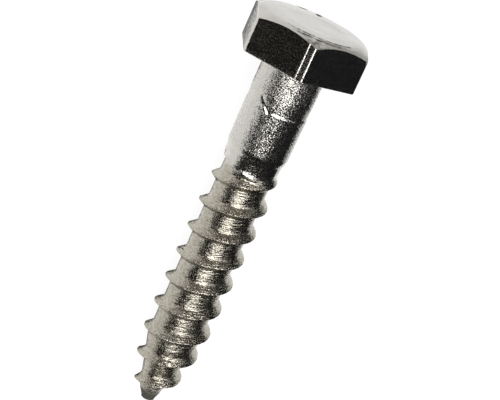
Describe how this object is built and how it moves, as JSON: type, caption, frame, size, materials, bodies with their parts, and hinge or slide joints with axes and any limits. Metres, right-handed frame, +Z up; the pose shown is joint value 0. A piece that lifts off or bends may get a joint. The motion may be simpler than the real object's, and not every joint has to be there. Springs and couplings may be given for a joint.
{
  "type": "coach screw",
  "caption": "Hexagon-head coach screw in satin stainless steel: a plain shank, then a coarse right-hand wood thread that tapers to a blunt tip, for fixing timber with a spanner.",
  "frame": {"origin": "middle of the bounding box, on the surface that the screw lies on", "axes": "+X along the screw from its head to its tip, +Z up, square to the head flat that faces up"},
  "size_m": [0.066, 0.0194, 0.0174],
  "materials": {
    "stainless_steel": "satin, pickled grain with rolled bright crests"
  },
  "bodies": {
    "root": {"coach_screw": "stainless_steel"}
  },
  "joints": []
}
